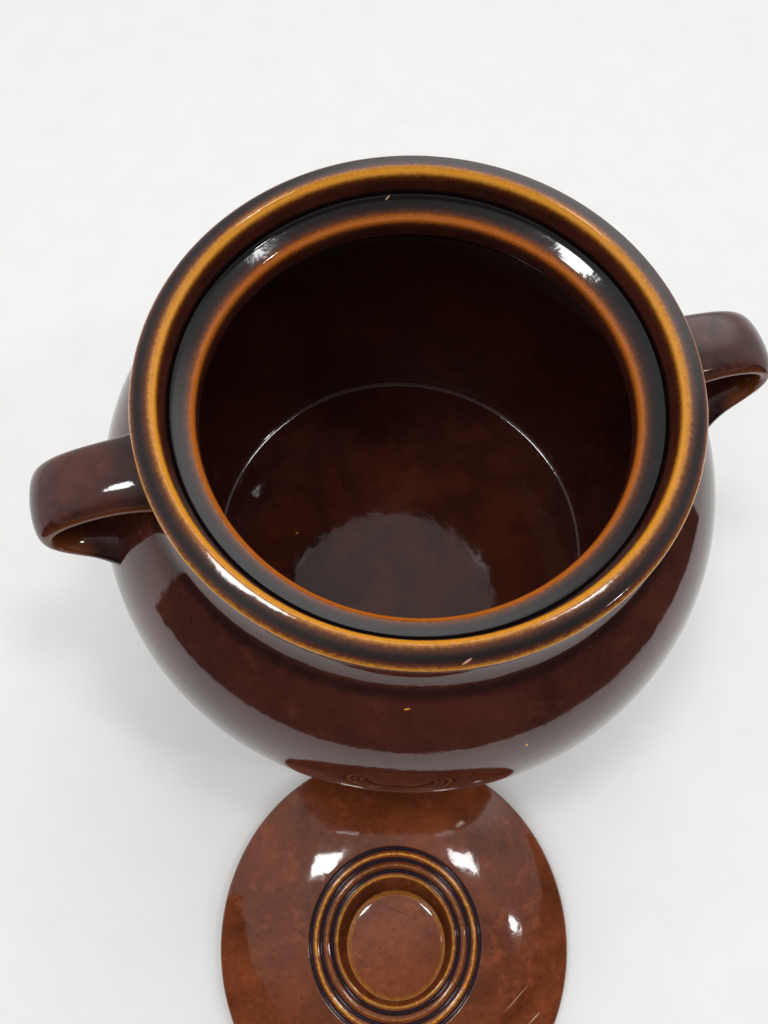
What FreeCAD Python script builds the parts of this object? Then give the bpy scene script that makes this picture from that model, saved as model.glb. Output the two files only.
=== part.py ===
import FreeCAD, Part
import math
import os

# Stoneware bean pot with two ear handles and a loose lid laid beside it.
# Millimetres, +Z up. The origin is the middle of the foot ring, on the table.
# The handles point along X, and the front of the pot faces -Y.

# Pot: foot and floor
foot_radius = 78.0
foot_width = 6.5
foot_height = 4.0
foot_step = 1.6
foot_recess = 1.8
floor_thickness = 7.9

# Pot: belly and wall
belly_radius = 96.2
belly_height = 73.3
wall = 6.3

# Pot: neck, rim and the gallery that takes the lid
pot_height = 142.3
neck_drop = 21.3
neck_flare = 4.6
neck_hollow = 1.0
rim_band_height = 8.5
rim_overhang = 2.2
rim_taper = 0.5
rim_fall = 0.9
rim_bevel = 1.3
crest_radius = 66.0
crest_width = 1.2
crest_drop = 1.5
rim_width = 8.4
gallery_depth = 8.2
ledge_width = 5.9
ledge_fall = 2.6
throat_radius = 57.4
lip_thickness = 7.4
lip_bevel = 1.7
foot_bevel = 0.8

# Handles: a strap pressed in one piece, wider and thicker where it is luted on
strap_width = 22.0
strap_thickness = 7.6
strap_squareness = 3.0
top_root_width = 25.6
low_root_width = 37.8
root_thickness = 11.3
root_length = 0.34
root_sink = 4.0
handle_top_drop = 18.2
handle_shoulder_reach = 23.2
handle_shoulder_drop = 17.4
handle_reach = 23.2
handle_bend_drop = 26.6
handle_elbow_reach = 10.9
handle_elbow_drop = 35.6
handle_low_drop = 41.5
section_count = 6
section_points = 12

# Lid: its edge, dome and turned rings
lid_clearance = 3.5
flange_clearance = 1.6
flange_drop = 4.6
flange_width = 5.0
lid_edge = 3.0
lid_thickness = 5.6
dome_rise = 9.0
dome_swell = 1.6
groove_radius = 21.1
groove_pitch = 3.55
groove_count = 3
groove_width = 1.5
groove_depth = 0.8
ridge_height = 0.35
cove_margin = 1.2
cove_depth = 1.8
cove_hollow = 0.9
edge_bevel = 0.9

# Knob: a mushroom, luted on to the flat in the middle of the lid
knob_radius = 16.0
knob_foot_radius = 11.0
knob_foot_height = 0.8
knob_stem_radius = 9.6
knob_neck_height = 3.8
knob_cap = 3.6
knob_height = 11.7
knob_crown = 1.2
knob_bevel = 1.0
knob_seat_margin = 0.8

# Where the lid lies: its middle, seen from the axis of the pot
lid_bearing = -105.5
lid_gap = 0.3

# Sizes that follow from the ones above
gallery_radius = throat_radius + ledge_width
rim_radius = gallery_radius + rim_width
neck_radius = rim_radius - rim_overhang
neck_base_radius = neck_radius + neck_flare
neck_base_height = pot_height - neck_drop
band_bottom = pot_height - rim_band_height
gallery_height = pot_height - gallery_depth
ledge_height = gallery_height - ledge_fall
lip_bottom = ledge_height - lip_thickness
base_radius = foot_radius + foot_step
lid_radius = gallery_radius - lid_clearance
flange_radius = throat_radius - flange_clearance
seat_slope = ledge_fall / ledge_width
edge_bottom = flange_drop + seat_slope * (lid_radius - flange_radius)
edge_top = edge_bottom + lid_edge
ring_level = edge_top + dome_rise
knob_seat = ring_level - cove_depth
SMALL = 0.01


def arc_radius(side, rise):
    """Radius of the arc that starts upright and runs `side` in over a height of `rise`."""
    return (side * side + rise * rise) / (2 * side)


shoulder_arc = arc_radius(belly_radius - neck_base_radius, neck_base_height - belly_height)
lower_arc = arc_radius(belly_radius - base_radius, belly_height - foot_height)


def wall_radius(height, inset=0.0):
    """Radius of the belly at a height, or of a skin `inset` inside it."""
    arc = shoulder_arc if height > belly_height else lower_arc
    rise = height - belly_height
    return belly_radius - arc + math.sqrt((arc - inset) ** 2 - rise ** 2)


def shoulder_point(share, inset):
    """Point on the shoulder, or on a skin `inset` inside it, from the belly (0) to the neck (1)."""
    centre = belly_radius - shoulder_arc
    turn = share * math.atan2(neck_base_height - belly_height, neck_base_radius - centre)
    reach = shoulder_arc - inset
    return (centre + reach * math.cos(turn), belly_height + reach * math.sin(turn))


def point(radius, height):
    return FreeCAD.Vector(radius, 0, height)


def line(start, end):
    return Part.LineSegment(point(*start), point(*end)).toShape()


def arc(start, middle, end):
    return Part.Arc(point(*start), point(*middle), point(*end)).toShape()


def turned(edges):
    """Solid of revolution of a closed outline about the Z axis."""
    face = Part.Face(Part.Wire(edges))
    return face.revolve(FreeCAD.Vector(0, 0, 0), FreeCAD.Vector(0, 0, 1), 360)


def bevelled(shape, rings):
    """Bevel the ring edges given as (radius, height, size of the bevel)."""
    for radius, height, size in rings:
        found = [edge for edge in shape.Edges if on_ring(edge, radius, height)]
        shape = shape.makeChamfer(size, found)
    return shape


def on_ring(edge, radius, height):
    """Whether an edge is the full ring at this radius and height."""
    if edge.Degenerated or not isinstance(edge.Curve, Part.Circle):
        return False
    near = abs(edge.Curve.Radius - radius) < SMALL
    return near and abs(edge.Curve.Center.z - height) < SMALL


def outside_edges():
    """Outline of the pot's outside, from the foot ring up to the crest of the rim."""
    mid_low = (foot_height + belly_height) / 2
    foot = (foot_radius, foot_height)
    base = (base_radius, foot_height)
    belly = (belly_radius, belly_height)
    neck_base = (neck_base_radius, neck_base_height)
    neck_top = (neck_radius, band_bottom)
    neck_mid = (neck_radius + neck_flare / 2 - neck_hollow, (band_bottom + neck_base_height) / 2)
    band = (rim_radius - rim_taper, band_bottom)
    rim_edge = (rim_radius, pot_height - rim_fall)
    return [
        line((foot_radius, 0), foot),
        line(foot, base),
        arc(base, (wall_radius(mid_low), mid_low), belly),
        arc(belly, shoulder_point(0.5, 0), neck_base),
        arc(neck_base, neck_mid, neck_top),
        line(neck_top, band),
        line(band, rim_edge),
        line(rim_edge, (crest_radius, pot_height)),
    ]


def pot_envelope():
    """The pot's outside as one plug, which the handles are cut to."""
    crest = (crest_radius, pot_height)
    closing = [line(crest, (0, pot_height)), line((0, pot_height), (0, 0)), line((0, 0), (foot_radius, 0))]
    return turned(outside_edges() + closing)


def pot_body():
    """Foot, belly, neck, rim and gallery, jiggered in one piece."""
    neck_inside = neck_radius - wall
    mid_low = (floor_thickness + belly_height) / 2
    crest_inside = (crest_radius - crest_width, pot_height - crest_drop)
    corner = (gallery_radius, gallery_height)
    lip = (throat_radius, ledge_height)
    lip_low = (throat_radius, lip_bottom)
    neck_high = (neck_inside, lip_bottom)
    neck_low = shoulder_point(1, wall)
    inner_belly = (belly_radius - wall, belly_height)
    floor_edge = (wall_radius(floor_thickness, wall), floor_thickness)
    foot_inside = foot_radius - foot_width
    recess_edge = (foot_inside - foot_recess, foot_recess)
    inside = [
        line((crest_radius, pot_height), crest_inside),
        line(crest_inside, corner),
        line(corner, lip),
        line(lip, lip_low),
        line(lip_low, neck_high),
        line(neck_high, neck_low),
        arc(neck_low, shoulder_point(0.5, wall), inner_belly),
        arc(inner_belly, (wall_radius(mid_low, wall), mid_low), floor_edge),
        line(floor_edge, (0, floor_thickness)),
        line((0, floor_thickness), (0, foot_recess)),
        line((0, foot_recess), recess_edge),
        line(recess_edge, (foot_inside, 0)),
        line((foot_inside, 0), (foot_radius, 0)),
    ]
    rings = [
        (foot_radius, 0, foot_bevel),
        (foot_inside, 0, foot_bevel),
        (throat_radius, ledge_height, lip_bevel),
        (throat_radius, lip_bottom, lip_bevel),
        (neck_inside, lip_bottom, lip_bevel),
        (rim_radius, pot_height - rim_fall, rim_bevel),
    ]
    return bevelled(turned(outside_edges() + inside), rings)


def handle_path():
    """Middle line of the strap: out from under the rim, round, and back to the belly."""
    bend = pot_height - handle_bend_drop
    elbow = pot_height - handle_elbow_drop
    low = pot_height - handle_low_drop
    stops = [
        point(neck_radius - root_sink, pot_height - handle_top_drop),
        point(neck_radius + handle_shoulder_reach, pot_height - handle_shoulder_drop),
        point(wall_radius(bend) + handle_reach, bend),
        point(wall_radius(elbow) + handle_elbow_reach, elbow),
        point(wall_radius(low) - root_sink, low),
    ]
    path = Part.BSplineCurve()
    path.interpolate(stops)
    return path


def swell(from_end):
    """How far a section takes part in a root: 1 at its end, 0 past the root's length."""
    return max(0.0, 1 - from_end / root_length) ** 2


def power(value):
    return math.copysign(abs(value) ** (2 / strap_squareness), value)


def strap_section(path, share):
    """Soft-cornered outline of the strap, square to its middle line."""
    at = path.value(path.FirstParameter + share * (path.LastParameter - path.FirstParameter))
    along = path.tangent(path.parameter(at))[0]
    across = FreeCAD.Vector(0, 1, 0)
    through = along.cross(across)
    top = swell(share)
    low = swell(1 - share)
    half_width = (strap_width + top * (top_root_width - strap_width) + low * (low_root_width - strap_width)) / 2
    half_thickness = (strap_thickness + (top + low) * (root_thickness - strap_thickness)) / 2
    outline = []
    for step in range(section_points + 1):
        turn = 2 * math.pi * (step + 0.5) / section_points
        side = across * (half_width * power(math.cos(turn)))
        outline.append(at + side + through * (half_thickness * power(math.sin(turn))))
    return Part.makePolygon(outline)


def handle():
    """One ear handle, its roots cut to the pot's outside so that they seat on it."""
    path = handle_path()
    sections = [strap_section(path, step / (section_count - 1)) for step in range(section_count)]
    return Part.makeLoft(sections, True).cut(pot_envelope())


def lid():
    """Lid with a sloped seat, a locating flange, a dome and turned rings, in its own frame."""
    flange_inside = flange_radius - flange_width
    last_groove = groove_radius + (groove_count - 1) * groove_pitch
    dome_end = last_groove + groove_width / 2
    dome_mid = (lid_radius + dome_end) / 2
    under_level = ring_level - lid_thickness
    under_edge = under_level - dome_rise / 2
    cove_edge = groove_radius - groove_width / 2 - cove_margin
    cove_foot = knob_foot_radius + knob_seat_margin
    cove_mid = ((cove_edge + cove_foot) / 2, ring_level - cove_depth / 2 - cove_hollow)
    edges = [
        line((0, under_level), (dome_end, under_level)),
        line((dome_end, under_level), (flange_inside, under_edge)),
        line((flange_inside, under_edge), (flange_inside, 0)),
        line((flange_inside, 0), (flange_radius, 0)),
        line((flange_radius, 0), (flange_radius, flange_drop)),
        line((flange_radius, flange_drop), (lid_radius, edge_bottom)),
        line((lid_radius, edge_bottom), (lid_radius, edge_top)),
        arc((lid_radius, edge_top), (dome_mid, edge_top + dome_rise / 2 + dome_swell), (dome_end, ring_level)),
    ]
    edges += groove_edges()
    edges += [
        line((groove_radius - groove_width / 2, ring_level), (cove_edge, ring_level)),
        line((cove_edge, ring_level), cove_mid),
        line(cove_mid, (cove_foot, knob_seat)),
        line((cove_foot, knob_seat), (0, knob_seat)),
        line((0, knob_seat), (0, under_level)),
    ]
    rings = [
        (lid_radius, edge_bottom, edge_bevel),
        (lid_radius, edge_top, edge_bevel),
        (flange_radius, 0, edge_bevel),
        (flange_inside, 0, edge_bevel),
    ]
    return bevelled(turned(edges), rings)


def groove_edges():
    """The turned grooves, from the outermost inwards, with a ridge between each two."""
    half = groove_width / 2
    edges = []
    for step in reversed(range(groove_count)):
        middle = groove_radius + step * groove_pitch
        bottom = (middle, ring_level - groove_depth)
        edges.append(line((middle + half, ring_level), bottom))
        edges.append(line(bottom, (middle - half, ring_level)))
        if step:
            ridge = (middle - groove_pitch / 2, ring_level + ridge_height)
            edges.append(line((middle - half, ring_level), ridge))
            edges.append(line(ridge, (middle - groove_pitch + half, ring_level)))
    return edges


def lid_knob():
    """Mushroom knob on a waisted stem, standing on the lid's flat."""
    foot_top = knob_seat + knob_foot_height
    waist = (knob_stem_radius, knob_seat + knob_neck_height)
    top = knob_seat + knob_height
    cap_top = top - knob_crown
    cap_bottom = cap_top - knob_cap
    crown_mid = (knob_radius / 2, top - knob_crown / 4)
    edges = [
        line((0, knob_seat), (knob_foot_radius, knob_seat)),
        line((knob_foot_radius, knob_seat), (knob_foot_radius, foot_top)),
        line((knob_foot_radius, foot_top), waist),
        line(waist, (knob_radius, cap_bottom)),
        line((knob_radius, cap_bottom), (knob_radius, cap_top)),
        line((knob_radius, cap_top), crown_mid),
        line(crown_mid, (0, top)),
        line((0, top), (0, knob_seat)),
    ]
    rings = [(knob_radius, cap_bottom, knob_bevel), (knob_radius, cap_top, knob_bevel)]
    return bevelled(turned(edges), rings)


def laid_down(shape):
    """Move a piece of the lid from the lid's own frame to where the lid lies."""
    distance = wall_radius(edge_top) + lid_gap + lid_radius
    bearing = math.radians(lid_bearing)
    shape.translate(FreeCAD.Vector(distance * math.cos(bearing), distance * math.sin(bearing), 0))
    return shape


right_handle = handle()
parts = {
    "pot_body": pot_body(),
    "right_handle": right_handle,
    "left_handle": right_handle.mirror(FreeCAD.Vector(0, 0, 0), FreeCAD.Vector(1, 0, 0)),
    "lid": laid_down(lid()),
    "lid_knob": laid_down(lid_knob()),
}
os.makedirs("parts", exist_ok=True)
for name, shape in parts.items():
    shape.exportStep("parts/" + name + ".step")
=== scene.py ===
"""Glazed stoneware bean pot with two ear handles and a loose lid lying in front of it."""

import math

import bmesh
import bpy
from mathutils import Euler, Matrix, Vector


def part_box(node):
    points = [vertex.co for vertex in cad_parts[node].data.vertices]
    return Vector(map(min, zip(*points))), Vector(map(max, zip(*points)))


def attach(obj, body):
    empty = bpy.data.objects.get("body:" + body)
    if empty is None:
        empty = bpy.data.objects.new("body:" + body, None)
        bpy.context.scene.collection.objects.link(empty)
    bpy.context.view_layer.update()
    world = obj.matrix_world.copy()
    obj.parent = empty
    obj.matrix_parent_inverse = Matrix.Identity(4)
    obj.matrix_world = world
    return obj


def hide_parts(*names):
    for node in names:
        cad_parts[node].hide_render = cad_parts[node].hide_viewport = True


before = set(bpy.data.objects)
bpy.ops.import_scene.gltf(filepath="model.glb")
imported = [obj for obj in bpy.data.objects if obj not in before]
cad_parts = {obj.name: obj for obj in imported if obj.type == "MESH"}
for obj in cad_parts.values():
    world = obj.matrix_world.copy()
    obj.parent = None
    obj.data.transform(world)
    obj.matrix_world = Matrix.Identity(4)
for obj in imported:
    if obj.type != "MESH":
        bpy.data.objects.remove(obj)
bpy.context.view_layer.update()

bl_info = {
    "name": "Stoneware bean pot",
    "version": (1, 0, 0),
    "blender": (4, 5, 0),
    "location": "3D Viewport > Sidebar > Bean Pot",
    "description": "Glazed bean pot with ear handles and a loose knobbed lid",
    "category": "Object",
}

MM = 0.001

# An arc has a step for about every so much of its chord, and at least so many
ARC_STEP = 2.6 * MM
FEWEST_ARC_STEPS = 6
CORNER_SEGMENTS = 5

# Points nearer than this are one point, and edges shorter than this are none
SAME_PLACE = 1e-6
NO_LENGTH = 1e-7


# Sizes and colours that a user would change

def length(name, description, default):
    return bpy.props.FloatProperty(
        name=name,
        description=description,
        default=default * MM,
        unit="LENGTH",
        subtype="DISTANCE",
        precision=5,
    )


def colour(name, description, default):
    return bpy.props.FloatVectorProperty(
        name=name,
        description=description,
        default=default,
        size=3,
        min=0.0,
        max=1.0,
        subtype="COLOR",
    )


class PotSizes(bpy.types.PropertyGroup):
    """Sizes of the pot and its lid"""

    foot_radius: length("Foot radius", "Outside of the foot ring", 78.0)
    base_radius: length("Base radius", "Where the belly starts, above the foot", 79.6)
    belly_radius: length("Belly radius", "Widest part of the belly", 96.2)
    belly_height: length("Belly height", "Height of the widest part", 73.3)
    neck_base_radius: length("Neck base radius", "Crease between shoulder and neck", 74.1)
    neck_base_height: length("Neck base height", "Height of that crease", 121.0)
    neck_radius: length("Neck radius", "Neck just under the rim band", 69.5)
    rim_radius: length("Rim radius", "Outside of the rim band", 71.7)
    crest_radius: length("Crest radius", "Top edge of the gallery", 66.0)
    gallery_radius: length("Gallery radius", "Wall that the lid drops into", 63.3)
    throat_radius: length("Throat radius", "Inner lip, the clear opening", 57.4)
    pot_height: length("Pot height", "Crest of the rim above the table", 142.3)
    wall: length("Wall", "Thickness of the belly's wall", 6.3)
    lid_radius: length("Lid radius", "Outside of the lid's edge", 59.8)
    flange_radius: length("Flange radius", "Locating flange under the lid", 55.8)
    knob_radius: length("Knob radius", "Cap of the knob", 16.0)


class PotColours(bpy.types.PropertyGroup):
    """Colours of the glaze where it is thick, thin and broken, and of the table"""

    deep: colour("Deep glaze", "Glaze where it pools", (0.0045, 0.0028, 0.0030))
    body: colour("Body glaze", "Most of the pot", (0.055, 0.0138, 0.0092))
    warm: colour("Warm glaze", "Redder clouds on the pot's floor", (0.125, 0.0270, 0.0110))
    rust: colour("Rust", "Glaze that thins towards an edge", (0.160, 0.043, 0.0095))
    amber: colour("Amber", "Glaze broken over an edge", (0.80, 0.325, 0.028))
    salmon: colour("Salmon", "Glaze broken over the inner lip", (0.54, 0.145, 0.017))
    lid_body: colour("Lid glaze", "Most of the lid", (0.130, 0.0320, 0.0110))
    knob_body: colour("Knob glaze", "Top of the knob", (0.165, 0.042, 0.0150))
    groove: colour("Groove", "Blue-black glaze in the lid's grooves", (0.0100, 0.0085, 0.0160))
    clay: colour("Bare clay", "Unglazed foot ring and chips", (0.46, 0.27, 0.17))
    table: colour("Table", "The surface that it stands on", (0.88, 0.88, 0.87))


# Throwing and finishing

def vertices_in(made):
    """The vertices among what an operator has made."""
    return [item for item in made if isinstance(item, bmesh.types.BMVert)]


def straight(bm, start, end):
    """Carry a wire on from a vertex to a point, and give back its new end."""
    vertex = bm.verts.new((end[0], 0.0, end[1]))
    bm.edges.new((start, vertex))
    return vertex


def arced(bm, start, middle, end):
    """Carry a wire on from a vertex along an arc, and give back its new end."""
    centre, turn = arc_about((start.co.x, start.co.z), middle, end)
    chord = math.hypot(end[0] - start.co.x, end[1] - start.co.z)
    spun = bmesh.ops.spin(
        bm,
        geom=[start],
        cent=(centre[0], 0.0, centre[1]),
        axis=(0.0, 1.0, 0.0),
        angle=turn,
        steps=max(FEWEST_ARC_STEPS, round(chord / ARC_STEP)),
        use_merge=False,
        use_duplicate=False,
    )
    return vertices_in(spun["geom_last"])[0]


def arc_about(start, middle, end):
    """Centre and turn, about +Y, of the arc from one point through a middle one to another."""
    (ax, az), (bx, bz), (cx, cz) = start, middle, end
    d = 2 * (ax * (bz - cz) + bx * (cz - az) + cx * (az - bz))
    a = ax * ax + az * az
    b = bx * bx + bz * bz
    c = cx * cx + cz * cz
    x = (a * (bz - cz) + b * (cz - az) + c * (az - bz)) / d
    z = (a * (cx - bx) + b * (ax - cx) + c * (bx - ax)) / d
    first = math.atan2(az - z, ax - x)
    between = math.atan2(bz - z, bx - x)
    last = math.atan2(cz - z, cx - x)
    turn = (last - first) % (2 * math.pi)
    if (between - first) % (2 * math.pi) > turn:
        turn -= 2 * math.pi
    return (x, z), -turn


def outline(bm, stops):
    """Draw a section's wire in the XZ plane.

    A stop is its radius and height, then the rounding of its corner in millimetres, then
    a point on the arc that leads to it. A stop without such a point ends a straight line."""
    first, *others = stops
    vertex = bm.verts.new((first[0], 0.0, first[1]))
    corners = []
    for stop in others:
        radius, height, rounding, middle = (*stop, None, None)[:4]
        if middle:
            vertex = arced(bm, vertex, middle, (radius, height))
        else:
            vertex = straight(bm, vertex, (radius, height))
        if rounding:
            corners.append((vertex, rounding))
    for vertex, rounding in corners:
        bmesh.ops.bevel(
            bm,
            geom=[vertex],
            offset=rounding * MM,
            offset_type="OFFSET",
            segments=CORNER_SEGMENTS,
            profile=0.5,
            affect="VERTICES",
            material=-1,
        )


def divided(bm, longest):
    """Halve the wire's edges until none is longer than this."""
    while True:
        long = [edge for edge in bm.edges if edge.calc_length() > longest]
        if not long:
            return
        bmesh.ops.subdivide_edges(bm, edges=long, cuts=1)


def turned(bm, steps):
    """Turn the wire about the Z axis into a closed skin."""
    bmesh.ops.spin(
        bm,
        geom=bm.verts[:] + bm.edges[:],
        cent=(0.0, 0.0, 0.0),
        axis=(0.0, 0.0, 1.0),
        angle=2 * math.pi,
        steps=steps,
        use_merge=True,
        use_duplicate=False,
    )
    bmesh.ops.remove_doubles(bm, verts=bm.verts[:], dist=SAME_PLACE)
    bmesh.ops.dissolve_degenerate(bm, dist=NO_LENGTH, edges=bm.edges[:])
    bmesh.ops.recalc_face_normals(bm, faces=bm.faces[:])


def thrown(stops, longest, steps):
    """Draw a section and turn it on the wheel."""
    bm = bmesh.new()
    outline(bm, stops)
    divided(bm, longest)
    turned(bm, steps)
    return bm


def shown(bm, name, material):
    """Put the mesh in the scene, in its material."""
    mesh = bpy.data.meshes.new(name)
    bm.to_mesh(mesh)
    bm.free()
    mesh.materials.append(material)
    thing = bpy.data.objects.new(name, mesh)
    bpy.context.scene.collection.objects.link(thing)
    return thing


def finished(bm, name, body, node, material):
    """Make the mesh a smooth piece of the pot that stands for its plain solid."""
    piece = shown(bm, name, material)
    for face in piece.data.polygons:
        face.use_smooth = True
    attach(piece, body)
    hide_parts(node)
    return piece


# Working with colours, shares and places in a material

# The share of a patch's half size at which it starts to fade
PATCH_FADES_FROM = 0.7


def new_material(name):
    """An empty material, with its shader and the object's own coordinates."""
    material = bpy.data.materials.new(name)
    material.use_nodes = True
    tree = material.node_tree
    shader = tree.nodes["Principled BSDF"]
    place = tree.nodes.new("ShaderNodeTexCoord").outputs["Object"]
    return material, tree, shader, place


def feed(tree, socket, value):
    """Give an input the output of another node, a number or a colour."""
    if isinstance(value, bpy.types.NodeSocket):
        tree.links.new(value, socket)
    elif isinstance(value, float):
        socket.default_value = value
    else:
        socket.default_value = (*value, 1.0)


def clouds(tree, place, scale, detail=3.0, rough=0.5, distortion=0.0, squeeze=(1.0, 1.0, 1.0)):
    """Noise from 0 to 1 at a scale, squeezed along the object's axes."""
    spread = tree.nodes.new("ShaderNodeMapping")
    spread.inputs["Scale"].default_value = squeeze
    tree.links.new(place, spread.inputs["Vector"])
    noise = tree.nodes.new("ShaderNodeTexNoise")
    noise.inputs["Scale"].default_value = scale
    noise.inputs["Detail"].default_value = detail
    noise.inputs["Roughness"].default_value = rough
    noise.inputs["Distortion"].default_value = distortion
    tree.links.new(spread.outputs["Vector"], noise.inputs["Vector"])
    return noise.outputs["Fac"]


def ramp(tree, value, low, high):
    """Stretch a value so that low gives 0 and high gives 1, smoothly."""
    stretch = tree.nodes.new("ShaderNodeMapRange")
    stretch.interpolation_type = "SMOOTHSTEP"
    stretch.inputs["From Min"].default_value = low
    stretch.inputs["From Max"].default_value = high
    tree.links.new(value, stretch.inputs["Value"])
    return stretch.outputs["Result"]


def between(tree, share, low, high):
    """A number that goes from low to high as the share goes from 0 to 1."""
    spread = tree.nodes.new("ShaderNodeMapRange")
    tree.links.new(share, spread.inputs["Value"])
    feed(tree, spread.inputs["To Min"], low)
    feed(tree, spread.inputs["To Max"], high)
    return spread.outputs["Result"]


def over(tree, under, tint, share):
    """Lay a colour over another by a share from 0 to 1."""
    mix = tree.nodes.new("ShaderNodeMix")
    mix.data_type = "RGBA"
    feed(tree, mix.inputs[0], share)
    feed(tree, mix.inputs[6], under)
    feed(tree, mix.inputs[7], tint)
    return mix.outputs[2]


def sums(tree, operation, first, second):
    """Work with two numbers, and keep the result between 0 and 1."""
    node = tree.nodes.new("ShaderNodeMath")
    node.operation = operation
    node.use_clamp = True
    feed(tree, node.inputs[0], first)
    feed(tree, node.inputs[1], second)
    return node.outputs[0]


def vectors(tree, operation, first, second=None):
    """Work with a vector and, where the operation takes two, a fixed one."""
    node = tree.nodes.new("ShaderNodeVectorMath")
    node.operation = operation
    tree.links.new(first, node.inputs[0])
    if second is not None:
        node.inputs[1].default_value = second
    gives_a_number = operation in ("LENGTH", "DISTANCE", "DOT_PRODUCT")
    return node.outputs["Value" if gives_a_number else "Vector"]


def painted(tree, name):
    """A number that the mesh carries at each of its points."""
    attribute = tree.nodes.new("ShaderNodeAttribute")
    attribute.attribute_name = name
    return attribute.outputs["Fac"]


def section_place(tree, place, middle):
    """A point's radius and height as a vector, its place from the upright axis, and its height."""
    about = vectors(tree, "SUBTRACT", place, (middle[0], middle[1], 0.0))
    radius = vectors(tree, "LENGTH", vectors(tree, "MULTIPLY", about, (1.0, 1.0, 0.0)))
    split = tree.nodes.new("ShaderNodeSeparateXYZ")
    tree.links.new(about, split.inputs["Vector"])
    height = split.outputs["Z"]
    both = tree.nodes.new("ShaderNodeCombineXYZ")
    tree.links.new(radius, both.inputs["X"])
    tree.links.new(height, both.inputs["Y"])
    return both.outputs["Vector"], about, height


def patch(tree, place, middle, half_size, turn):
    """A small turned oval patch: 1 inside, 0 outside."""
    fitted = tree.nodes.new("ShaderNodeMapping")
    fitted.vector_type = "TEXTURE"
    fitted.inputs["Location"].default_value = [c * MM for c in middle]
    fitted.inputs["Rotation"].default_value = [math.radians(a) for a in turn]
    fitted.inputs["Scale"].default_value = [c * MM for c in half_size]
    tree.links.new(place, fitted.inputs["Vector"])
    return ramp(tree, vectors(tree, "LENGTH", fitted.outputs["Vector"]), 1.0, PATCH_FADES_FROM)


def bumped(tree, height, strength, depth, under=None):
    """Relief from a height, on top of the relief under it."""
    bump = tree.nodes.new("ShaderNodeBump")
    bump.inputs["Strength"].default_value = strength
    bump.inputs["Distance"].default_value = depth
    tree.links.new(height, bump.inputs["Height"])
    if under is not None:
        tree.links.new(under, bump.inputs["Normal"])
    return bump.outputs["Normal"]


# The glaze

# Clouds in it: scale, detail, roughness and distortion, and the levels that become 0 and 1
MOTTLE = (38.0, 5.0, 0.66, 0.5)
MOTTLE_LEVELS = (0.40, 0.66)
SPECKS = (520.0, 2.0, 0.5)
SPECK_LEVELS = (0.52, 0.72)
GRAIN = (150.0, 4.0, 0.7)
GRAIN_LEVELS = (0.50, 0.72)
RAGGED = (900.0, 3.0, 0.6)
SHEEN = (90.0, 3.0, 0.5)
RIPPLE = (60.0, 3.0, 0.5)
GRIT = (420.0, 2.0, 0.5)

# Streaks: detail, roughness, distortion and squeeze, and then their scale and how dark they are
STREAK = (5.0, 0.6, 0.8, (1.0, 1.0, 0.35))
STREAK_LEVELS = (0.44, 0.74)
BODY_STREAKS = (22.0, 0.4)
STRAP_STREAKS = (75.0, 0.8)

# How much redder its warm clouds are, and how much clouds, grain and specks show
REDDER = 1.9
MOTTLE_SHARE = 0.6
GRAIN_SHARE = 0.8
SPECK_SHARE = 0.20

# Colours that it breaks to over an edge with rust round them, how far in they are full, and
# how ragged the edge of a ring is
BREAKING = ("amber", "salmon")
BROKEN_CORE = 0.6
RAGGED_BREAK = 1.2 * MM
RAGGED_POOL = 0.4 * MM

# Bare clay: the height down to which the glaze is whole, and the height where it has gone
GLAZE_WHOLE = 0.9 * MM
GLAZE_GONE = 0.3 * MM

# Finish: roughness from the glossiest glaze to the dullest, and of clay, and the glaze's index
GLAZE_ROUGHNESS = (0.04, 0.10)
CLAY_ROUGHNESS = 0.8
GLAZE_IOR = 1.52

# Rings left by throwing: scale, distortion and detail
THROWING = (60.0, 1.5, 2.0)

# Relief: how strong it is, and how deep
THROWING_RELIEF = (0.02, 0.3 * MM)
RIPPLE_RELIEF = (0.22, 0.6 * MM)
GRIT_RELIEF = (0.10, 0.2 * MM)


def glaze(name, base, warm_share, middle=(0.0, 0.0), rings=(), patches=(), streaks=BODY_STREAKS):
    """Glossy brown glaze: clouded and streaked, dark where it pools, amber where it breaks."""
    colours = bpy.context.scene.pot_colours
    material, tree, shader, place = new_material(name)
    spot, about, height = section_place(tree, place, middle)
    mottle = ramp(tree, clouds(tree, place, *MOTTLE), *MOTTLE_LEVELS)
    skin = clouded(tree, place, mottle, base, warm_share, streaks)
    skin = ringed(tree, place, spot, mottle, skin, rings)
    for tint, patch_middle, half_size, turn in patches:
        chip = patch(tree, place, patch_middle, half_size, turn)
        skin = over(tree, skin, getattr(colours, tint), chip)
    skin = over(tree, skin, colours.rust, painted(tree, "edge"))
    bare = ramp(tree, height, GLAZE_WHOLE, GLAZE_GONE)
    skin = over(tree, skin, colours.clay, bare)
    tree.links.new(skin, shader.inputs["Base Color"])
    sheen = between(tree, clouds(tree, place, *SHEEN), *GLAZE_ROUGHNESS)
    tree.links.new(between(tree, bare, sheen, CLAY_ROUGHNESS), shader.inputs["Roughness"])
    shader.inputs["IOR"].default_value = GLAZE_IOR
    tree.links.new(relief(tree, place, about), shader.inputs["Normal"])
    return material


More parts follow.
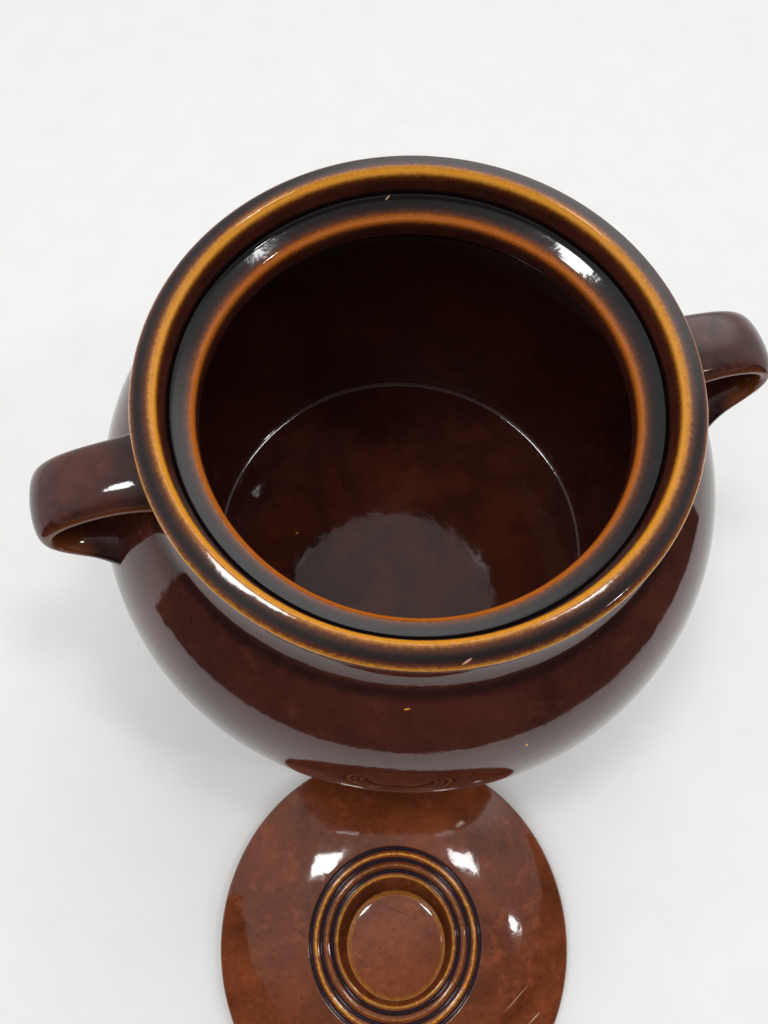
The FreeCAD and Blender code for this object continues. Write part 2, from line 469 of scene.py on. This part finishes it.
def clouded(tree, place, mottle, base, warm_share, streaks):
    """The glaze away from any edge: redder clouds and grain, and dark streaks and specks."""
    deep = bpy.context.scene.pot_colours.deep
    redder = tuple(REDDER * part for part in base)
    scale, darkness = streaks
    streak = ramp(tree, clouds(tree, place, scale, *STREAK), *STREAK_LEVELS)
    speck = ramp(tree, clouds(tree, place, *SPECKS), *SPECK_LEVELS)
    grain = ramp(tree, clouds(tree, place, *GRAIN), *GRAIN_LEVELS)
    skin = over(tree, base, redder, sums(tree, "MULTIPLY", mottle, MOTTLE_SHARE * warm_share))
    skin = over(tree, skin, deep, sums(tree, "MULTIPLY", streak, darkness))
    skin = over(tree, skin, redder, sums(tree, "MULTIPLY", grain, GRAIN_SHARE * warm_share))
    return over(tree, skin, deep, sums(tree, "MULTIPLY", speck, SPECK_SHARE))


def ringed(tree, place, spot, mottle, skin, rings):
    """Lay rings of other colours over the glaze, where it pools in a corner or breaks over an edge.

    A ring is its colour, its radius and height, how far from there it is full and how far it
    reaches, in millimetres, and its share."""
    colours = bpy.context.scene.pot_colours
    ragged = clouds(tree, place, *RAGGED)
    for tint, radius, height, core, reach, share in rings:
        breaks = tint in BREAKING
        wave = sums(tree, "MULTIPLY", ragged, RAGGED_BREAK if breaks else RAGGED_POOL)
        away = sums(tree, "ADD", vectors(tree, "DISTANCE", spot, (radius, height, 0.0)), wave)
        full = ramp(tree, away, reach * MM, core * MM)
        if tint == "warm":
            full = sums(tree, "MULTIPLY", full, mottle)
        if breaks:
            skin = over(tree, skin, colours.rust, sums(tree, "MULTIPLY", full, share))
            full = ramp(tree, away, (core + reach) / 2 * MM, core * BROKEN_CORE * MM)
        skin = over(tree, skin, getattr(colours, tint), sums(tree, "MULTIPLY", full, share))
    return skin


def relief(tree, place, about):
    """Faint rings from throwing, a soft ripple over them and fine grit on top."""
    wheel_marks = tree.nodes.new("ShaderNodeTexWave")
    wheel_marks.wave_type = "RINGS"
    wheel_marks.rings_direction = "Z"
    for name, value in zip(("Scale", "Distortion", "Detail"), THROWING):
        wheel_marks.inputs[name].default_value = value
    tree.links.new(about, wheel_marks.inputs["Vector"])
    rings = bumped(tree, wheel_marks.outputs["Fac"], *THROWING_RELIEF)
    ripple = bumped(tree, clouds(tree, place, *RIPPLE), *RIPPLE_RELIEF, rings)
    return bumped(tree, clouds(tree, place, *GRIT), *GRIT_RELIEF, ripple)


# Chips, flecks and scratches: colour, middle, half size and turn, in millimetres and degrees
POT_CHIPS = (
    ("clay", (7.7, 62.3, 135.0), (1.3, 0.35, 1.5), (0, 0, 20)),
    ("clay", (-8.4, -69.6, 141.5), (1.5, 0.28, 1.5), (0, 0, 18)),
    ("clay", (3.3, 75.1, 8.0), (0.7, 0.6, 1.5), (0, 0, 0)),
    ("amber", (-40.0, 14.6, 8.0), (0.6, 0.5, 1.5), (0, 0, 0)),
    ("amber", (-21.9, -74.1, 118.2), (0.9, 0.20, 2.0), (0, 0, -8)),
    ("amber", (6.9, -89.0, 102.0), (0.4, 0.35, 1.5), (0, 0, 0)),
    ("amber", (64.0, -9.0, 133.6), (0.3, 0.3, 0.8), (0, 0, 0)),
)
LID_SCRATCHES = (
    ("clay", (-5.1, -164.8, 13.0), (9.2, 0.26, 4.0), (0, 0, 27)),
    ("clay", (0.6, -171.6, 12.0), (3.2, 0.30, 4.0), (0, 0, 23)),
)
KNOB_CRACK = (("deep", (-35.7, -127.3, 28.2), (5.6, 0.11, 1.0), (0, 0, -35)),)


# The pot

# Its foot: height and width of the ring, and the recess inside it
FOOT_HEIGHT = 4.0 * MM
FOOT_WIDTH = 6.5 * MM
FOOT_RECESS = 1.8 * MM

# Its floor, and its rim: the band outside, the gallery inside, and the ledge and lip under it
FLOOR_HEIGHT = 7.9 * MM
BAND_DEPTH = 8.5 * MM
BAND_LEAN = 0.5 * MM
BAND_TOP = 0.9 * MM
GALLERY_DEPTH = 8.2 * MM
LEDGE_DROP = 2.6 * MM
LIP_DEPTH = 7.4 * MM

# The bead inside the crest, and how far the neck is hollowed
BEAD_WIDTH = 1.2 * MM
BEAD_DEPTH = 1.5 * MM
NECK_HOLLOW = 1.0 * MM

# Shares of the way up the shoulder
HALFWAY = 0.5
WHOLE = 1.0


class BEANPOT_OT_pot_body(bpy.types.Operator):
    """Turn the pot's body: foot, belly, neck, rim, gallery and inner lip"""

    bl_idname = "beanpot.pot_body"
    bl_label = "Pot Body"

    def execute(self, context):
        sizes = context.scene.pot_sizes
        colours = context.scene.pot_colours
        bm = thrown(pot_outline(sizes), longest=4.0 * MM, steps=256)
        material = glaze("pot_glaze", colours.body, 0.6, rings=pot_rings(sizes), patches=POT_CHIPS)
        finished(bm, "glazed_pot", "pot", "pot_body", material)
        return {"FINISHED"}


def pot_outline(s):
    """The pot's section, from the middle of its underside, round the outside and back inside."""
    foot_inside = s.foot_radius - FOOT_WIDTH
    band = s.pot_height - BAND_DEPTH
    ledge_out = s.pot_height - GALLERY_DEPTH
    ledge_in = ledge_out - LEDGE_DROP
    lip_low = ledge_in - LIP_DEPTH
    neck_middle = (s.neck_radius + s.neck_base_radius) / 2 - NECK_HOLLOW, (band + s.neck_base_height) / 2
    floor_edge = lower_radius(s, s.wall, FLOOR_HEIGHT)
    return [
        (0.0, FOOT_RECESS),
        (foot_inside - FOOT_RECESS, FOOT_RECESS, 0.6),
        (foot_inside, 0.0, 0.5),
        (s.foot_radius, 0.0, 0.9),
        (s.foot_radius, FOOT_HEIGHT, 0.3),
        (s.base_radius, FOOT_HEIGHT, 0.5),
        (s.belly_radius, s.belly_height, None, lower_middle(s, 0.0, FOOT_HEIGHT)),
        (s.neck_base_radius, s.neck_base_height, None, shoulder_at(s, HALFWAY, 0.0)),
        (s.neck_radius, band, 0.5, neck_middle),
        (s.rim_radius - BAND_LEAN, band, 0.8),
        (s.rim_radius, s.pot_height - BAND_TOP, 1.7),
        (s.crest_radius, s.pot_height, 0.5),
        (s.crest_radius - BEAD_WIDTH, s.pot_height - BEAD_DEPTH, 0.5),
        (s.gallery_radius, ledge_out, 1.1),
        (s.throat_radius, ledge_in, 2.2),
        (s.throat_radius, lip_low, 1.7),
        (s.neck_radius - s.wall, lip_low, 1.7),
        shoulder_at(s, WHOLE, s.wall),
        (s.belly_radius - s.wall, s.belly_height, None, shoulder_at(s, HALFWAY, s.wall)),
        (floor_edge, FLOOR_HEIGHT, 2.4, lower_middle(s, s.wall, FLOOR_HEIGHT)),
        (0.0, FLOOR_HEIGHT),
    ]


def arc_radius(side, rise):
    """Radius of an arc that starts upright and moves to the side by so much over a rise."""
    return (side * side + rise * rise) / (2 * side)


def shoulder_at(s, share, inset):
    """A point on the shoulder's arc, a share of the way up from the belly to the neck."""
    rise = s.neck_base_height - s.belly_height
    radius = arc_radius(s.belly_radius - s.neck_base_radius, rise)
    centre = s.belly_radius - radius
    turn = share * math.atan2(rise, s.neck_base_radius - centre)
    reach = radius - inset
    return centre + reach * math.cos(turn), s.belly_height + reach * math.sin(turn)


def lower_radius(s, inset, height):
    """Radius of the lower belly at a height."""
    radius = arc_radius(s.belly_radius - s.base_radius, s.belly_height - FOOT_HEIGHT)
    drop = s.belly_height - height
    return s.belly_radius - radius + math.sqrt((radius - inset) ** 2 - drop ** 2)


def lower_middle(s, inset, start):
    """The point of the lower belly halfway up from a height."""
    height = (start + s.belly_height) / 2
    return lower_radius(s, inset, height), height


def pot_rings(s):
    """Where the pot's glaze pools, and where it breaks over an edge."""
    top = s.pot_height
    ledge = top - GALLERY_DEPTH
    lip = ledge - LEDGE_DROP
    rim_middle = (s.crest_radius + s.rim_radius) / 2
    ledge_middle = (s.gallery_radius + s.throat_radius) / 2
    return (
        ("deep", rim_middle - 0.4 * MM, top - 0.5 * MM, 1.3, 2.6, 0.9),
        ("deep", ledge_middle, ledge - 1.4 * MM, 2.0, 3.4, 0.8),
        ("deep", s.gallery_radius, ledge + 0.1 * MM, 1.4, 3.0, 1.0),
        ("deep", s.neck_base_radius, s.neck_base_height, 0.5, 3.4, 0.6),
        ("deep", s.base_radius, FOOT_HEIGHT, 0.5, 2.5, 0.7),
        ("amber", s.crest_radius - 0.6 * MM, top - 0.8 * MM, 1.0, 4.1, 1.0),
        ("amber", s.rim_radius - 0.5 * MM, top - 1.8 * MM, 1.0, 2.5, 0.65),
        ("warm", 20.0 * MM, FLOOR_HEIGHT, 30.0, 60.0, 0.45),
        ("salmon", s.throat_radius + 0.5 * MM, lip - 0.3 * MM, 1.1, 4.0, 1.0),
    )


# The handles

# Stops along a strap: distance out from the axis, height, lean of the section from level,
# half its width and half its thickness, all in millimetres and degrees
STRAP = (
    (68.6, 124.2, 0.0, 13.4, 6.0),
    (73.5, 124.4, 0.0, 11.8, 4.5),
    (80.0, 124.9, 2.0, 10.9, 3.9),
    (89.0, 124.6, 12.0, 10.7, 3.8),
    (97.6, 122.0, 38.0, 10.7, 3.8),
    (102.4, 116.6, 74.0, 10.8, 3.8),
    (101.6, 111.0, 108.0, 11.2, 3.8),
    (97.8, 106.9, 138.0, 12.0, 3.9),
    (92.8, 104.0, 150.0, 13.2, 4.6),
    (88.8, 102.2, 152.0, 15.6, 6.0),
    (84.0, 100.2, 152.0, 19.0, 8.8),
)

# A strap's section: how many sides it has, and how full its corners are
STRAP_SIDES = 12
STRAP_FULLNESS = 0.9

# Thin glaze on a strap's edges: its share, where it lies on the section from -1 to 1 across it
# and through it, and the stop where it ends
THIN_GLAZE = 0.9
THIN_FROM = 0.8
THIN_LOW, THIN_HIGH = -0.6, 0.3
LOWER_ROOT = 8

# Dark glaze where a strap meets the neck and the shoulder
STRAP_RINGS = (
    ("deep", 74.0 * MM, 124.0 * MM, 2.0, 9.0, 0.75),
    ("deep", 91.0 * MM, 101.5 * MM, 2.0, 8.0, 0.85),
)

# How often a strap's skin is smoothed
SOFTENED = 3


class BEANPOT_OT_handles(bpy.types.Operator):
    """Model both strap handles, with their flared roots lying on the pot"""

    bl_idname = "beanpot.handles"
    bl_label = "Handles"

    def execute(self, context):
        body = context.scene.pot_colours.body
        for side, name, node in ((1.0, "right_strap", "right_handle"), (-1.0, "left_strap", "left_handle")):
            bm = strap(side)
            material = glaze(name + "_glaze", body, 1.0, rings=STRAP_RINGS, streaks=STRAP_STREAKS)
            piece = finished(bm, name, "pot", node, material)
            soften = piece.modifiers.new("soft_clay", "SUBSURF")
            soften.levels = SOFTENED
            soften.render_levels = SOFTENED
        return {"FINISHED"}


def strap(side):
    """Extrude a soft-cornered section from stop to stop along the strap, on one side of the pot."""
    bm = bmesh.new()
    edge = bm.verts.layers.float.new("edge")
    ring = bmesh.ops.create_circle(bm, cap_ends=True, segments=STRAP_SIDES, radius=1.0)["verts"]
    section = [Vector((fuller(vertex.co.x), fuller(vertex.co.y))) for vertex in ring]
    bm.faces.ensure_lookup_table()
    current = bm.faces[0]
    for index, stop in enumerate(STRAP):
        if index:
            current = bmesh.ops.extrude_discrete_faces(bm, faces=[current])["faces"][0]
        place_section(current, section, stop)
        for vertex, flat in zip(current.verts, section):
            thin = abs(flat.x) > THIN_FROM and THIN_LOW < flat.y < THIN_HIGH and index < LOWER_ROOT
            vertex[edge] = THIN_GLAZE if thin else 0.0
    bmesh.ops.transform(bm, matrix=Matrix.Scale(side, 4, (1.0, 0.0, 0.0)), verts=bm.verts[:])
    bmesh.ops.recalc_face_normals(bm, faces=bm.faces[:])
    return bm


def fuller(part):
    """Push one part of a section's point outwards, so that the corners fill."""
    return math.copysign(abs(part) ** STRAP_FULLNESS, part)


def place_section(face, section, stop):
    """Put the section's points at a stop: x goes across the strap, y through it."""
    out, height, lean, half_width, half_thickness = stop
    turn = math.radians(lean)
    middle = Vector((out, 0.0, height))
    across = Vector((0.0, half_width, 0.0))
    through = Vector((math.sin(turn), 0.0, math.cos(turn))) * half_thickness
    for vertex, flat in zip(face.verts, section):
        vertex.co = (middle + across * flat.x + through * flat.y) * MM


# The lid

# Its levels above the table as it lies: the hollow's top and side, the flange, the edge, the
# flat of the rings and the knob's seat
HOLLOW_TOP = 12.76 * MM
HOLLOW_SIDE = 8.26 * MM
FLANGE_HEIGHT = 4.6 * MM
EDGE_LOW = 6.36 * MM
EDGE_TOP = 9.36 * MM
RING_LEVEL = 18.36 * MM
KNOB_SEAT = RING_LEVEL - 1.8 * MM

# Its radii, and the bulge of its dome
HOLLOW_RADIUS = 50.8 * MM
RINGS_END = 19.15 * MM
COVE_MIDDLE = 15.7 * MM
COVE_END = 11.8 * MM
DOME_BULGE = 6.1 * MM

# Its grooves in millimetres: their middles from the outermost inwards, half the width of each,
# the depth of a groove and the rise of the ridge between two
GROOVES = (28.2, 24.65, 21.1)
GROOVE_HALF = 0.75
GROOVE_DEPTH = 0.8
RIDGE_RISE = 0.35


class BEANPOT_OT_lid(bpy.types.Operator):
    """Turn the lid, with its flange, dome and rings, and lay it in front of the pot"""

    bl_idname = "beanpot.lid"
    bl_label = "Lid"

    def execute(self, context):
        sizes = context.scene.pot_sizes
        colours = context.scene.pot_colours
        laid = lid_place()
        bm = thrown(lid_outline(sizes), longest=2.0 * MM, steps=200)
        bmesh.ops.translate(bm, vec=laid, verts=bm.verts[:])
        material = glaze("lid_glaze", colours.lid_body, 1.0, laid, lid_rings(sizes), LID_SCRATCHES)
        finished(bm, "glazed_lid", "lid", "lid", material)
        return {"FINISHED"}


def lid_place():
    """Where the middle of the lid lies."""
    low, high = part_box("lid")
    return Vector(((low[0] + high[0]) / 2, (low[1] + high[1]) / 2, 0.0))


def lid_outline(s):
    """The lid's section, from the middle of its hollow, round the flange and edge and over the top."""
    rings_start = (GROOVES[0] + GROOVE_HALF) * MM
    dome_middle = (s.lid_radius + rings_start) / 2, EDGE_TOP + DOME_BULGE
    return [
        (0.0, HOLLOW_TOP),
        (rings_start, HOLLOW_TOP, 3.0),
        (HOLLOW_RADIUS, HOLLOW_SIDE, 1.5),
        (HOLLOW_RADIUS, 0.0, 0.9),
        (s.flange_radius, 0.0, 1.0),
        (s.flange_radius, FLANGE_HEIGHT, 0.8),
        (s.lid_radius, EDGE_LOW, 1.0),
        (s.lid_radius, EDGE_TOP, 1.1),
        (rings_start, RING_LEVEL, 0.3, dome_middle),
        *groove_stops(),
        (RINGS_END, RING_LEVEL, 0.3),
        (COVE_END, KNOB_SEAT, None, (COVE_MIDDLE, KNOB_SEAT)),
        (0.0, KNOB_SEAT),
    ]


def groove_stops():
    """The grooves' section from the outermost inwards, with a ridge between each two."""
    stops = []
    outer = None
    for middle in GROOVES:
        if outer:
            stops.append(((outer + middle) / 2 * MM, RING_LEVEL + RIDGE_RISE * MM, 0.5))
            stops.append(((middle + GROOVE_HALF) * MM, RING_LEVEL, 0.25))
        stops.append((middle * MM, RING_LEVEL - GROOVE_DEPTH * MM, 0.35))
        stops.append(((middle - GROOVE_HALF) * MM, RING_LEVEL, 0.25))
        outer = middle
    return stops


def lid_rings(s):
    """Amber ridges, a thin rusty edge and a dark cove, then the blue-black grooves."""
    ridge = RING_LEVEL + 0.3 * MM
    groove = RING_LEVEL - 0.3 * MM
    return (
        ("amber", 26.4 * MM, ridge, 0.7, 1.8, 0.95),
        ("amber", 22.85 * MM, ridge, 0.4, 1.6, 0.6),
        ("amber", RINGS_END + 0.25 * MM, RING_LEVEL, 0.5, 2.2, 0.75),
        ("rust", s.lid_radius, EDGE_TOP - 0.76 * MM, 0.6, 2.2, 0.8),
        ("groove", COVE_END - 0.4 * MM, KNOB_SEAT - 0.16 * MM, 0.6, 2.0, 0.4),
        *(("groove", middle * MM, groove, 0.50, 1.15, 1.0) for middle in GROOVES),
    )


# The knob

# Its whole height, and from the seat up: its foot, the hollow of its stem, and its cap's edge
# and crown
KNOB_HEIGHT = 11.7 * MM
KNOB_FOOT_RADIUS = 11.0 * MM
KNOB_FOOT_HEIGHT = 0.8 * MM
STEM_RADIUS = 9.7 * MM
STEM_HEIGHT = 3.8 * MM
CAP_EDGE = 3.6 * MM
CROWN_HEIGHT = 1.2 * MM
CROWN_FALL = 0.31 * MM


class BEANPOT_OT_knob(bpy.types.Operator):
    """Turn the mushroom knob and stand it on the lid"""

    bl_idname = "beanpot.knob"
    bl_label = "Knob"

    def execute(self, context):
        sizes = context.scene.pot_sizes
        colours = context.scene.pot_colours
        laid = lid_place()
        bm = thrown(knob_outline(sizes), longest=1.2 * MM, steps=128)
        bmesh.ops.translate(bm, vec=laid, verts=bm.verts[:])
        material = glaze("knob_glaze", colours.knob_body, 0.9, laid, knob_rings(sizes), KNOB_CRACK)
        finished(bm, "glazed_knob", "lid", "lid_knob", material)
        return {"FINISHED"}


def knob_outline(s):
    """The knob's section, from its foot, out under the cap and in over the crown."""
    top = KNOB_SEAT + KNOB_HEIGHT
    cap_top = top - CROWN_HEIGHT
    cap_low = cap_top - CAP_EDGE
    return [
        (0.0, KNOB_SEAT),
        (KNOB_FOOT_RADIUS, KNOB_SEAT, 0.2),
        (KNOB_FOOT_RADIUS, KNOB_SEAT + KNOB_FOOT_HEIGHT, 0.3),
        (s.knob_radius, cap_low, 1.2, (STEM_RADIUS, KNOB_SEAT + STEM_HEIGHT)),
        (s.knob_radius, cap_top, 1.4),
        (0.0, top, None, (s.knob_radius / 2, top - CROWN_FALL)),
    ]


def knob_rings(s):
    """A dark foot, and an amber band round the cap's edge."""
    return (
        ("groove", KNOB_FOOT_RADIUS + 1.0 * MM, KNOB_SEAT + 1.44 * MM, 2.0, 4.5, 0.8),
        ("amber", s.knob_radius - 1.0 * MM, KNOB_SEAT + 9.64 * MM, 0.6, 3.6, 0.55),
    )


# The stage: table, dark card, light and camera

TABLE_HALF = 3.0
TABLE_GRAIN = (55.0, 4.0, 0.6)
TABLE_GRAIN_LEVELS = (0.3, 0.8)
TABLE_GRAIN_TINT = 0.97
TABLE_ROUGHNESS = 0.7

# The dark card: where its lower edge starts, its turn about the pot, its steps and its height
CARD_START = (-0.32, -0.035, 0.002)
CARD_TURN = math.radians(162.0)
CARD_STEPS = 24
CARD_HEIGHT = 0.20
CLOTH = (0.012, 0.010, 0.010)
CLOTH_THREAD = (0.030, 0.026, 0.026)
CLOTH_WEAVE = (300.0, 3.0, 0.5)
CLOTH_WEAVE_LEVELS = (0.3, 0.7)
CLOTH_ROUGHNESS = 0.9

# The room, its darker part in front and above, and the glow of the wall behind
ROOM = (0.62, 0.62, 0.62)
ROOM_DARK = (0.13, 0.13, 0.13)
FRONT_LEVELS = (0.05, -0.45)
ABOVE_LEVELS = (0.12, 0.5)
GLOW = (1.75, 1.75, 1.75)
GLOW_TOWARDS = (0.47, 0.67, 0.57)
GLOW_LEVELS = (0.82, 0.97)

# Lamps: name, place, what each points at, size, power, and whether the glaze mirrors it
LAMPS = (
    ("window_right", (0.54, -0.04, 1.52), (0.0, 0.0, 0.05), (0.16, 0.26), 3.0, True),
    ("window_low", (0.86, -0.52, 1.30), (0.0, 0.0, 0.05), (0.08, 0.12), 1.4, True),
    ("window_left", (-0.40, 0.18, 1.52), (0.0, 0.0, 0.05), (0.17, 0.28), 3.9, True),
    ("fill", (-0.45, -0.50, 1.80), (0.0, 0.0, 0.0), (1.6, 1.6), 8.8, False),
)

# The camera: place in metres, turn in degrees, lens and sensor in millimetres, nearest sight in metres
CAMERA_PLACE = (-0.035219, -0.090331, 0.308092)
CAMERA_TURN = (20.11536, -1.001757, -14.315709)
LENS = 27.0
SENSOR_HEIGHT = 36.0
NEAREST_SIGHT = 0.01


class BEANPOT_OT_stage(bpy.types.Operator):
    """Lay the pale table, stand the dark card, light the room and set the camera"""

    bl_idname = "beanpot.stage"
    bl_label = "Stage"

    def execute(self, context):
        pale_table(context.scene.pot_colours.table)
        dark_card()
        pale_room()
        hang_lamps()
        set_camera()
        context.scene.view_settings.view_transform = "Standard"
        return {"FINISHED"}


def pale_table(tint):
    """A wide flat table, very slightly clouded."""
    bm = bmesh.new()
    bmesh.ops.create_grid(bm, x_segments=8, y_segments=8, size=TABLE_HALF)
    material, tree, shader, place = new_material("table_white")
    grain = ramp(tree, clouds(tree, place, *TABLE_GRAIN), *TABLE_GRAIN_LEVELS)
    darker = tuple(part * TABLE_GRAIN_TINT for part in tint)
    tree.links.new(over(tree, tint, darker, grain), shader.inputs["Base Color"])
    shader.inputs["Roughness"].default_value = TABLE_ROUGHNESS
    return shown(bm, "table_top", material)


def dark_card():
    """A dark curved card in front of the pot, which only the glaze mirrors, to keep its front dark."""
    bm = bmesh.new()
    bmesh.ops.spin(
        bm,
        geom=[bm.verts.new(CARD_START)],
        cent=(0.0, 0.0, 0.0),
        axis=(0.0, 0.0, 1.0),
        angle=CARD_TURN,
        steps=CARD_STEPS,
        use_merge=False,
    )
    grown = bmesh.ops.extrude_edge_only(bm, edges=bm.edges[:])["geom"]
    bmesh.ops.translate(bm, vec=(0.0, 0.0, CARD_HEIGHT), verts=vertices_in(grown))
    material, tree, shader, place = new_material("black_cloth")
    weave = ramp(tree, clouds(tree, place, *CLOTH_WEAVE), *CLOTH_WEAVE_LEVELS)
    tree.links.new(over(tree, CLOTH, CLOTH_THREAD, weave), shader.inputs["Base Color"])
    shader.inputs["Roughness"].default_value = CLOTH_ROUGHNESS
    card = shown(bm, "front_flag", material)
    card.visible_camera = False
    card.visible_diffuse = False
    card.visible_shadow = False
    return card


def pale_room():
    """A pale room with a brighter wall behind and a darker ceiling in front."""
    world = bpy.context.scene.world or bpy.data.worlds.new("room")
    bpy.context.scene.world = world
    world.use_nodes = True
    tree = world.node_tree
    direction = tree.nodes.new("ShaderNodeTexCoord").outputs["Generated"]
    split = tree.nodes.new("ShaderNodeSeparateXYZ")
    tree.links.new(direction, split.inputs["Vector"])
    front = ramp(tree, split.outputs["Y"], *FRONT_LEVELS)
    above = ramp(tree, split.outputs["Z"], *ABOVE_LEVELS)
    room = over(tree, ROOM, ROOM_DARK, sums(tree, "MULTIPLY", front, above))
    behind = ramp(tree, vectors(tree, "DOT_PRODUCT", direction, GLOW_TOWARDS), *GLOW_LEVELS)
    background = tree.nodes["Background"]
    tree.links.new(over(tree, room, GLOW, behind), background.inputs["Color"])
    background.inputs["Strength"].default_value = 1.0


def hang_lamps():
    """Small windows that the glaze mirrors, and a soft fill that it doesn't."""
    for name, place, aim, size, power, mirrored in LAMPS:
        lamp = bpy.data.lights.new(name, "AREA")
        lamp.shape = "RECTANGLE"
        lamp.size, lamp.size_y = size
        lamp.energy = power
        hung = bpy.data.objects.new(name, lamp)
        bpy.context.scene.collection.objects.link(hung)
        hung.location = place
        towards = Vector(aim) - Vector(place)
        hung.rotation_euler = towards.to_track_quat("-Z", "Y").to_euler()
        hung.visible_glossy = mirrored


def set_camera():
    """Look into the pot from above its front, with the lid at the picture's lower edge."""
    lens = bpy.data.cameras.new("photo_camera")
    lens.sensor_fit = "VERTICAL"
    lens.sensor_height = SENSOR_HEIGHT
    lens.lens = LENS
    lens.clip_start = NEAREST_SIGHT
    camera = bpy.data.objects.new("photo_camera", lens)
    bpy.context.scene.collection.objects.link(camera)
    camera.location = CAMERA_PLACE
    camera.rotation_euler = Euler([math.radians(angle) for angle in CAMERA_TURN])
    bpy.context.scene.camera = camera


# The panel, the classes and the run

class BEANPOT_PT_panel(bpy.types.Panel):
    """The pot's sizes, colours and the operators that make it"""

    bl_idname = "BEANPOT_PT_panel"
    bl_label = "Bean Pot"
    bl_space_type = "VIEW_3D"
    bl_region_type = "UI"
    bl_category = "Bean Pot"

    def draw(self, context):
        for operator in OPERATORS:
            self.layout.operator(operator.bl_idname)
        for group in (context.scene.pot_sizes, context.scene.pot_colours):
            column = self.layout.column()
            for name in group.__annotations__:
                column.prop(group, name)


OPERATORS = (
    BEANPOT_OT_pot_body,
    BEANPOT_OT_handles,
    BEANPOT_OT_lid,
    BEANPOT_OT_knob,
    BEANPOT_OT_stage,
)
CLASSES = (PotSizes, PotColours, *OPERATORS, BEANPOT_PT_panel)


def register():
    for kind in CLASSES:
        bpy.utils.register_class(kind)
    bpy.types.Scene.pot_sizes = bpy.props.PointerProperty(type=PotSizes)
    bpy.types.Scene.pot_colours = bpy.props.PointerProperty(type=PotColours)


def unregister():
    del bpy.types.Scene.pot_colours
    del bpy.types.Scene.pot_sizes
    for kind in reversed(CLASSES):
        bpy.utils.unregister_class(kind)


def main():
    register()
    bpy.ops.beanpot.pot_body()
    bpy.ops.beanpot.handles()
    bpy.ops.beanpot.lid()
    bpy.ops.beanpot.knob()
    bpy.ops.beanpot.stage()


if __name__ == "__main__":
    main()
